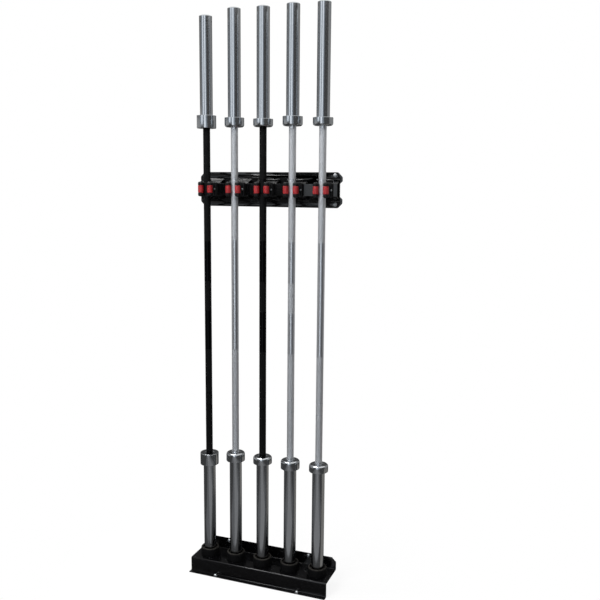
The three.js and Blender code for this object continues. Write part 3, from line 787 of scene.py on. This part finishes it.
cup_profile = rounded([
    (0, 0), (CUP_RADIUS, 0, 1), (CUP_RADIUS - CUP_DRAFT, CUP_HEIGHT, 5),
    (CUP_BORE, CUP_HEIGHT, 3), (CUP_BORE, CUP_FLOOR, 2), (0, CUP_FLOOR),
], 6)
row_width = pitch * (len(BARS) - 1)
cups = on_grid(solid("rubber_cups", turned(cup_profile, 96)), len(BARS), 1, row_width, 0, cup_rubber)
moved(cups, 0, axis_y, TRAY_TOP)
handed(cups, "rack", [f"cup_{k}" for k in BARS])

# %% [markdown]
# ## Clip housings
# A moulded box, open at the front, stands on the rail behind each shaft. Two jaws turn in it on
# vertical pivots, and a screw goes through each of its thick side walls. The box is carved from a
# block, then every edge is eased as a mould maker would.

# %% Housings
CLIP_WIDTH = 72
CLIP_DEPTH = 18
CLIP_TALL = 54
CLIP_CORNER = 7
CLIP_BACK_WALL = 2.5
CLIP_END_WALL = 6
CLIP_SIDE_WALL = 11
SHAFT_RADIUS = 14
SHAFT_RELIEF = 1.5
PIVOT_X = 17.5
PIVOT_Y = 15
PIVOT_RADIUS = 2.5
PIVOT_GAP = 0.6
SCREW_X = (CLIP_WIDTH - CLIP_SIDE_WALL) / 2

clip_back = rail_y - axis_y
clip_front = clip_back - CLIP_DEPTH
x, z = CLIP_WIDTH / 2, CLIP_TALL / 2
face = rounded([(x, -z, CLIP_CORNER), (x, z, CLIP_CORNER), (-x, z, CLIP_CORNER), (-x, -z, CLIP_CORNER)])
housing = solid("clip_housings", prism(face, clip_front, clip_back, ALONG_Y))
room_x = x - CLIP_SIDE_WALL
room_z = z - CLIP_END_WALL
room = rounded([(room_x, -room_z, 2), (room_x, room_z, 2), (-room_x, room_z, 2), (-room_x, -room_z, 2)])


def pin(name, radius, half_height, px=0, py=0, sides=48):
    """An upright round bar, centred at height 0."""
    profile = [(0, -half_height), (radius, -half_height), (radius, half_height), (0, half_height)]
    return moved(solid(name, turned(profile, sides)), px, py)


carved(housing, [
    solid("room", prism(room, clip_front - OVERRUN, clip_back - CLIP_BACK_WALL, ALONG_Y)),
    pin("shaft_relief", SHAFT_RADIUS + SHAFT_RELIEF, z + OVERRUN, sides=64),
    pin("pivot_hole", PIVOT_RADIUS + PIVOT_GAP, z + OVERRUN, -PIVOT_X, PIVOT_Y, 24),
    pin("pivot_hole", PIVOT_RADIUS + PIVOT_GAP, z + OVERRUN, PIVOT_X, PIVOT_Y, 24),
])
eased(housing, 0.7)
on_grid(housing, len(BARS), 1, row_width, 0, nylon)
moved(housing, 0, axis_y, clip_z)
handed(housing, "rack", [f"clip_base_{k}" for k in BARS])

for k in BARS:
    spring = frame["nodes"][f"clip_spring_{k}"]
    spring.data.materials.clear()
    spring.data.materials.append(spring_steel)

# %% [markdown]
# ## Housing screws
# Ten small pan head screws hold the housings to the rail. Two clips' screws are as far apart as
# the two in one clip, so all ten stand in one even row, and the grid tree makes them in one go.

# %% Screws
SCREW_HEAD_RADIUS = 4.2
SCREW_HEAD_HEIGHT = 2.6
SCREW_THREAD_RADIUS = 2.5
SCREW_HEAD_ROUND = 1.8
SLOT_WIDTH = 1
SLOT_DEPTH = 1.2
SLOT_SHARE = 0.62

screw_profile = rounded([
    (0, -CLIP_DEPTH), (SCREW_THREAD_RADIUS, -CLIP_DEPTH), (SCREW_THREAD_RADIUS, 0),
    (SCREW_HEAD_RADIUS, 0), (SCREW_HEAD_RADIUS, SCREW_HEAD_HEIGHT, SCREW_HEAD_ROUND), (0, SCREW_HEAD_HEIGHT),
])
screw = solid("housing_screws", turned(screw_profile, 24))
arm, half_slot = SCREW_HEAD_RADIUS * SLOT_SHARE, SLOT_WIDTH / 2
for name, (a, b) in (("slot", (arm, half_slot)), ("cross_slot", (half_slot, arm))):
    bottom = SCREW_HEAD_HEIGHT - SLOT_DEPTH
    carved(screw, [solid(name, prism([(-a, -b), (a, -b), (a, b), (-a, b)], bottom, bottom + OVERRUN))])
screw_count = 2 * len(BARS)
on_grid(screw, screw_count, 1, 2 * SCREW_X * (screw_count - 1), 0, zinc)
moved(turned_to_front(screw), 0, axis_y + clip_front, clip_z)
screw.data.transform(Matrix.Scale(MM, 4))
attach(screw, "rack")

# %% [markdown]
# ## Jaws and rollers
# A jaw is one moulding: a hub on its pivot, an arm past the shaft and a yoke with an upper and a
# lower lug that carries the roller between them. The left-hand jaw is the right-hand one in
# mirror image. Each jaw and each roller turns by itself, so each is its own object.

# %% Jaw shape
ROLLER_RADIUS = 11
ROLLER_HEIGHT = 30
ROLLER_ROUND = 3
ROLLER_X = 20.2
SEAT_GAP = 0.3
ROLLER_Y = -math.sqrt((SHAFT_RADIUS + ROLLER_RADIUS + SEAT_GAP) ** 2 - ROLLER_X ** 2)
AXLE_RADIUS = 3
LUG_RADIUS = 11
YOKE_HEIGHT = 58
YOKE_GAP = 0.5
YOKE_WALL = 3.6
YOKE_WALL_GAP = 0.6
YOKE_WALL_HEIGHT = 48
YOKE_ARC_DEG = (20, 108)
YOKE_ARC_STEPS = 10
BRIDGE_INSET = 0.4
BRIDGE_STEP = 1.5
HUB_RADIUS = 6.5
ARM_INNER = SHAFT_RADIUS + 1.3
ARM_THICKNESS = 4.7
ARM_HEIGHT = 32


def box_between(name, low, high, radius):
    """A block with rounded upright edges."""
    places = [(low[0], low[1]), (high[0], low[1]), (high[0], high[1]), (low[0], high[1])]
    return solid(name, prism(rounded([(*place, radius) for place in places]), low[2], high[2]))


def jaw_piece(name):
    """A right-hand jaw round the bar's axis, centred at height 0."""
    bottom, top = ROLLER_HEIGHT / 2 + YOKE_GAP, YOKE_HEIGHT / 2
    lug = rounded([(0, bottom), (LUG_RADIUS, bottom, 1), (LUG_RADIUS, top, 7), (0, top)], 7)
    inner = ROLLER_RADIUS + YOKE_WALL_GAP
    arc = [math.radians(YOKE_ARC_DEG[0] + (YOKE_ARC_DEG[1] - YOKE_ARC_DEG[0]) * step / YOKE_ARC_STEPS)
           for step in range(YOKE_ARC_STEPS + 1)]
    wall = [(inner + YOKE_WALL, angle) for angle in arc] + [(inner, angle) for angle in reversed(arc)]
    wall_outline = [(radius * math.cos(angle), radius * math.sin(angle)) for radius, angle in wall]
    half_wall = YOKE_WALL_HEIGHT / 2
    jaw = eased(solid(name, prism(wall_outline, -half_wall, half_wall)), 1.2, 3)
    pillar_arc = [(LUG_RADIUS - YOKE_WALL, angle) for angle in arc]
    seat = [(radius * math.cos(angle), radius * math.sin(angle)) for radius, angle in pillar_arc]
    reach = inner + YOKE_WALL - BRIDGE_INSET
    outer_arc = [(reach * math.cos(angle), reach * math.sin(angle)) for angle in arc]
    bridge = outer_arc + list(reversed(seat))
    pieces = [
        solid("upper_lug", turned(lug, 48)),
        solid("lower_lug", turned([(radius, -height) for radius, height in lug], 48)),
        solid("upper_bridge", prism(bridge, bottom, half_wall - BRIDGE_STEP)),
        solid("lower_bridge", prism(bridge, BRIDGE_STEP - half_wall, -bottom)),
        pin("axle", AXLE_RADIUS, bottom + YOKE_GAP, sides=24),
    ]
    carved(jaw, pieces, "UNION")
    moved(jaw, ROLLER_X, ROLLER_Y)
    hub_half = room_z - YOKE_GAP
    arm_y = inner + YOKE_WALL / 2 + ROLLER_Y
    arm_low = (ARM_INNER, arm_y, -ARM_HEIGHT / 2)
    arm_high = (ARM_INNER + ARM_THICKNESS, PIVOT_Y, ARM_HEIGHT / 2)
    arm = box_between("arm", arm_low, arm_high, 1)
    return carved(jaw, [
        eased(pin("hub", HUB_RADIUS, hub_half, PIVOT_X, PIVOT_Y), 0.8),
        pin("stubs", PIVOT_RADIUS, z, PIVOT_X, PIVOT_Y, 24),
        arm,
    ], "UNION")


# %% Jaws and rollers in place
right_jaw = jaw_piece("jaw_pattern")
right_jaw.data.materials.clear()
right_jaw.data.materials.append(nylon)
left_jaw = bpy.data.objects.new("left_jaw_pattern", right_jaw.data.copy())
left_jaw.data.transform(Matrix.Scale(-1, 4, (1, 0, 0)))
tidy(left_jaw)
patterns = {"left": (-1, left_jaw), "right": (1, right_jaw)}
roller_profile = rounded([
    (AXLE_RADIUS + PIVOT_GAP, -ROLLER_HEIGHT / 2, 0.5), (ROLLER_RADIUS, -ROLLER_HEIGHT / 2, ROLLER_ROUND),
    (ROLLER_RADIUS, ROLLER_HEIGHT / 2, ROLLER_ROUND), (AXLE_RADIUS + PIVOT_GAP, ROLLER_HEIGHT / 2, 0.5),
])
for k in BARS:
    for side, (sign, pattern) in patterns.items():
        jaw = bpy.data.objects.new(f"sprung_jaw_{k}_{side}", pattern.data.copy())
        scene.collection.objects.link(jaw)
        moved(jaw, bar_x[k], axis_y, clip_z)
        handed(jaw, f"jaw_{k}_{side}", [f"jaw_{k}_{side}"])
        roller = solid(f"red_roller_{k}_{side}", turned(roller_profile, 48), red_rubber)
        moved(roller, bar_x[k] + sign * ROLLER_X, axis_y + ROLLER_Y, clip_z)
        handed(roller, f"roller_{k}_{side}", [f"roller_{k}_{side}"])
for sign, pattern in patterns.values():
    bpy.data.objects.remove(pattern)

# %% [markdown]
# ## Knurling
# A lifter's hands need grip, so the shaft is pressed with two crossing spirals that leave rows of
# small pyramids. A bump map would vanish at the edges of so thin a rod, so a Geometry Nodes tree
# wraps a grid into a tube and sinks every other point. Splitting each square along its shorter
# diagonal, which joins the two sunken points, gives the pyramids their valleys.

# %% The knurl tree
KNURL_SIDES = 48
KNURL_DEPTH = 0.4

knurl_tree = bpy.data.node_groups.new("knurled_tube", "GeometryNodeTree")
knurl_sockets = {}
for label, kind in (
    ("Blank", "NodeSocketGeometry"), ("Sides", "NodeSocketInt"), ("Rows", "NodeSocketInt"),
    ("Radius", "NodeSocketFloat"), ("Depth", "NodeSocketFloat"), ("Length", "NodeSocketFloat"),
    ("Material", "NodeSocketMaterial"),
):
    knurl_sockets[label] = knurl_tree.interface.new_socket(label, in_out="INPUT", socket_type=kind)
knurl_tree.interface.new_socket("Tube", in_out="OUTPUT", socket_type="NodeSocketGeometry")
given = add(knurl_tree, "NodeGroupInput").outputs


def maths(operation, first, second=0.0):
    """The result of one sum on the knurl's fields."""
    return add(knurl_tree, "ShaderNodeMath", {0: first, 1: second}, operation=operation).outputs[0]


grid = add(knurl_tree, "GeometryNodeMeshGrid", {
    "Size X": given["Sides"], "Size Y": given["Rows"],
    "Vertices X": maths("ADD", given["Sides"], 1), "Vertices Y": maths("ADD", given["Rows"], 1),
})
spot = add(knurl_tree, "ShaderNodeSeparateXYZ", {0: add(knurl_tree, "GeometryNodeInputPosition").outputs[0]})
column = maths("ROUND", maths("ADD", spot.outputs["X"], maths("DIVIDE", given["Sides"], 2)))
row = maths("ROUND", maths("ADD", spot.outputs["Y"], maths("DIVIDE", given["Rows"], 2)))
sunken = maths("MODULO", maths("ADD", column, row), 2)
below_top = maths("LESS_THAN", row, maths("SUBTRACT", given["Rows"], 0.5))
inside = maths("MULTIPLY", maths("GREATER_THAN", row, 0.5), below_top)
sinking = maths("MULTIPLY", given["Depth"], maths("MULTIPLY", sunken, inside))
radius = maths("SUBTRACT", given["Radius"], sinking)
angle = maths("MULTIPLY", maths("DIVIDE", column, given["Sides"]), 2 * math.pi)
wrapped = add(knurl_tree, "ShaderNodeCombineXYZ", {
    "X": maths("MULTIPLY", radius, maths("COSINE", angle)),
    "Y": maths("MULTIPLY", radius, maths("SINE", angle)),
    "Z": maths("MULTIPLY", maths("DIVIDE", row, given["Rows"]), given["Length"]),
})
tube = add(knurl_tree, "GeometryNodeSetPosition", {
    "Geometry": grid.outputs["Mesh"], "Position": wrapped.outputs[0],
})
sewn = add(knurl_tree, "GeometryNodeMergeByDistance", {"Geometry": tube.outputs[0], "Distance": 0.01})
split = add(knurl_tree, "GeometryNodeTriangulate", {"Mesh": sewn.outputs[0]})
real = add(knurl_tree, "GeometryNodeRealizeInstances", {"Geometry": split.outputs[0]})
painted = add(knurl_tree, "GeometryNodeSetMaterial", {
    "Geometry": real.outputs[0], "Material": given["Material"],
})
add(knurl_tree, "NodeGroupOutput", {"Tube": painted.outputs[0]})


def knurled(low, high, material):
    """The mesh of a knurled tube between two heights on a shaft."""
    step = 2 * math.pi * SHAFT_RADIUS / KNURL_SIDES
    rows = 2 * round((high - low) / step / 2)
    obj = bpy.data.objects.new("knurl", bpy.data.meshes.new("knurl"))
    scene.collection.objects.link(obj)
    modifier = obj.modifiers.new("knurl", "NODES")
    modifier.node_group = knurl_tree
    values = {
        "Sides": KNURL_SIDES, "Rows": rows, "Radius": float(SHAFT_RADIUS), "Depth": KNURL_DEPTH,
        "Length": high - low, "Material": material,
    }
    for label, value in values.items():
        modifier[knurl_sockets[label].identifier] = value
    baked(obj)
    moved(obj, z=low)
    mesh = obj.data
    bpy.data.objects.remove(obj)
    return mesh


# %% [markdown]
# ## Shafts
# A shaft is smooth in the middle and knurled towards the collars, with rings cut through the
# knurling to show a lifter where to grip. Some bars also have a short knurl in the middle. Inside
# the sleeves the shaft is thinner, and a washer at each end keeps the sleeve on.

# %% Shafts
JOURNAL_RADIUS = 12.5
RUNNING_GAP = 0.6
SLEEVE_BORE = SHAFT_RADIUS + 2 * RUNNING_GAP
END_RECESS = 6
END_WASHER = 3
KNURL_FROM_COLLAR = 8
GRIP_START = 220
CENTRE_KNURL = 60
RINGS = (405, 455)
RING_WIDTH = 5
RING_DEPTH = 0.5
BAR_STYLES = {
    1: {"grip": 1326, "sleeve": 375, "collar": 49, "dark": True, "centre": True},
    2: {"grip": 1310, "sleeve": 406, "collar": 36, "dark": False, "centre": False},
    3: {"grip": 1310, "sleeve": 411, "collar": 30, "dark": True, "centre": True},
    4: {"grip": 1310, "sleeve": 406, "collar": 36, "dark": False, "centre": True},
    5: {"grip": 1310, "sleeve": 411, "collar": 30, "dark": False, "centre": False},
}
bar_z = {k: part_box(f"bar_{k}_lower_sleeve")[0].z / MM for k in BARS}


def knurl_zones(style):
    """Where a shaft is knurled above its middle, from the middle up."""
    edges = [GRIP_START]
    for ring in RINGS:
        edges += [ring - RING_WIDTH / 2, ring + RING_WIDTH / 2]
    edges.append(style["grip"] / 2 - KNURL_FROM_COLLAR)
    return list(zip(edges[::2], edges[1::2]))


def shaft_piece(k):
    """A shaft, drawn from its bar's lower end: plain turned lengths sewn to knurled ones."""
    style = BAR_STYLES[k]
    plain, grip = (smooth_black, knurled_black) if style["dark"] else (smooth_shaft, knurled_shaft)
    inside = style["sleeve"] + style["collar"]
    middle = inside + style["grip"] / 2
    above = [(middle + low, middle + high) for low, high in knurl_zones(style)]
    below = [(middle - high, middle - low) for low, high in reversed(knurl_zones(style))]
    centre = [(middle - CENTRE_KNURL, middle + CENTRE_KNURL)] if style["centre"] else []
    zones = below + centre + above
    shoulder = inside + SEAT_GAP
    washer = SHAFT_RADIUS
    end = [
        (0, END_RECESS), (washer - EDGE, END_RECESS), (washer, END_RECESS + EDGE),
        (washer, END_RECESS + END_WASHER), (JOURNAL_RADIUS, END_RECESS + END_WASHER),
        (JOURNAL_RADIUS, shoulder), (SHAFT_RADIUS, shoulder),
    ]
    far_end = [(radius, 2 * middle - height) for radius, height in reversed(end)]
    edges = [height for zone in zones for height in zone]
    lengths = [end + [(SHAFT_RADIUS, edges[0])]]
    for low, high in zip(edges[1:-1:2], edges[2::2]):
        if high - low > 2 * RING_WIDTH:
            lengths.append([(SHAFT_RADIUS, low), (SHAFT_RADIUS, high)])
        else:
            floor_radius = SHAFT_RADIUS - RING_DEPTH
            lengths.append([
                (SHAFT_RADIUS, low), (floor_radius, low + RING_DEPTH),
                (floor_radius, high - RING_DEPTH), (SHAFT_RADIUS, high),
            ])
    lengths.append([(SHAFT_RADIUS, edges[-1])] + far_end)
    mesh = bmesh.new()
    for length in lengths:
        points, faces = open_turned(length)
        part = bpy.data.meshes.new("length")
        part.from_pydata(points, [], faces)
        mesh.from_mesh(part)
    plain_faces = len(mesh.faces)
    for low, high in zones:
        mesh.from_mesh(knurled(low, high, grip))
    mesh.faces.ensure_lookup_table()
    for index, face in enumerate(mesh.faces):
        face.material_index = 0 if index < plain_faces else 1
    bmesh.ops.remove_doubles(mesh, verts=mesh.verts, dist=0.005)
    bmesh.ops.recalc_face_normals(mesh, faces=mesh.faces)
    for face in mesh.faces:
        face.smooth = face.material_index == 0
    for edge_line in mesh.edges:
        edge_line.smooth = edge_line.calc_face_angle(0) < math.radians(SHARP_DEG)
    data = bpy.data.meshes.new(f"steel_shaft_{k}")
    mesh.to_mesh(data)
    mesh.free()
    for material in (plain, grip):
        data.materials.append(material)
    obj = bpy.data.objects.new(f"steel_shaft_{k}", data)
    scene.collection.objects.link(obj)
    return obj


def open_turned(profile):
    """A turned length without the face that would close it on itself."""
    points, faces = turned(profile, KNURL_SIDES)
    if profile[0][0] > 0:
        faces = faces[:-KNURL_SIDES]
    return points, faces


for k in BARS:
    shaft = moved(shaft_piece(k), bar_x[k], axis_y, bar_z[k])
    handed(shaft, f"bar_{k}", [f"bar_{k}_shaft"])

# %% [markdown]
# ## Sleeves
# The plates hang on the sleeves, which turn on the shaft in bushings. Each has a collar at its
# inner end. Four bars have a short collar with a big round towards the hands; the first has a long
# straight one, and a ring of small holes near the sleeve's end.

# %% Sleeves
SLEEVE_RADIUS = 25
SLEEVE_ROUND = 4
COLLAR_RADIUS = 38
LONG_COLLAR_ROUND = 1.5
SHORT_COLLAR_ROUND = 9
PIN_HOLE_RADIUS = 2.5
PIN_HOLE_FROM_END = 24
PIN_HOLE_COUNT = 6
PIN_HOLE_TURN_DEG = 33
NECK_DEPTH = 0.8
NECK_WIDTH = 1.6


def sleeve_piece(name, style):
    """A lower sleeve, drawn from its outer end up."""
    sleeve, end = style["sleeve"], style["sleeve"] + style["collar"]
    long_collar = style["collar"] > COLLAR_RADIUS
    nose = (COLLAR_RADIUS, end, LONG_COLLAR_ROUND if long_collar else SHORT_COLLAR_ROUND)
    bushing = JOURNAL_RADIUS + RUNNING_GAP
    seat = END_RECESS + END_WASHER + SEAT_GAP
    profile = rounded([
        (SLEEVE_BORE, 0, 0.5), (SLEEVE_RADIUS, 0, SLEEVE_ROUND),
        (SLEEVE_RADIUS, sleeve - NECK_WIDTH), (SLEEVE_RADIUS - NECK_DEPTH, sleeve - NECK_WIDTH),
        (SLEEVE_RADIUS - NECK_DEPTH, sleeve), (COLLAR_RADIUS, sleeve, 1.5), nose,
        (SHAFT_RADIUS + 5, end, 1), (SHAFT_RADIUS + 4, end - 2, 0.5), (bushing, end - 2),
        (bushing, seat), (SLEEVE_BORE, seat),
    ], 6)
    body = solid(name, turned(profile, 96), chrome)
    if long_collar:
        drill = turned([(0, SLEEVE_BORE + 2), (PIN_HOLE_RADIUS, SLEEVE_BORE + 2),
                        (PIN_HOLE_RADIUS, SLEEVE_RADIUS + OVERRUN), (0, SLEEVE_RADIUS + OVERRUN)], 20)
        drills = []
        for step in range(PIN_HOLE_COUNT):
            bit = moved(turned_to_front(solid("drill", drill)), z=PIN_HOLE_FROM_END)
            turn = math.radians(PIN_HOLE_TURN_DEG) + 2 * math.pi * step / PIN_HOLE_COUNT
            bit.data.transform(Matrix.Rotation(turn, 4, "Z"))
            drills.append(bit)
        carved(body, drills)
        # The walls inside the pin holes take the black shaft steel. This is painted shade, so the holes read
        # as dark dots.
        body.data.materials.append(smooth_black)
        for face in body.data.polygons:
            depth = SLEEVE_RADIUS - math.hypot(face.center.x, face.center.y)
            by_a_hole = abs(face.center.z - PIN_HOLE_FROM_END) < PIN_HOLE_RADIUS
            if by_a_hole and EDGE < depth < SLEEVE_RADIUS - SLEEVE_BORE:
                face.material_index = 1
    return body


for k in BARS:
    style = BAR_STYLES[k]
    whole = 2 * (style["sleeve"] + style["collar"]) + style["grip"]
    low_sleeve = sleeve_piece(f"chromed_sleeve_{k}_lower", style)
    high_sleeve = sleeve_piece(f"chromed_sleeve_{k}_upper", style)
    high_sleeve.data.transform(Matrix.Scale(-1, 4, (0, 0, 1)))
    tidy(moved(high_sleeve, z=whole))
    for end, piece in (("lower", low_sleeve), ("upper", high_sleeve)):
        moved(piece, bar_x[k], axis_y, bar_z[k])
        handed(piece, f"{end}_sleeve_{k}", [f"bar_{k}_{end}_sleeve"])

# %% [markdown]
# ## Overhead strip
# A strip lamp overhead draws the bright line along the tray's front bend and the glints on the
# lower collars. The upper sleeves would carry it as a white cap, so the lamp is linked to all
# pieces but those five.

# %% Overhead strip
STRIP_POWER = 60
STRIP_SIZE = (1.5, 0.9)
STRIP_PLACE = Vector((-0.95, -0.1, 3.3))

strip = bpy.data.objects.new("overhead_strip", bpy.data.lights.new("overhead_strip", "AREA"))
strip.data.energy = STRIP_POWER
strip.data.shape = "RECTANGLE"
strip.data.size, strip.data.size_y = STRIP_SIZE
strip.location = STRIP_PLACE
strip.visible_camera = False
scene.collection.objects.link(strip)
lit = bpy.data.collections.new("lit_by_the_strip")
for obj in scene.objects:
    if obj.type == "MESH" and not obj.name.endswith("_upper"):
        lit.objects.link(obj)
strip.light_linking.receiver_collection = lit
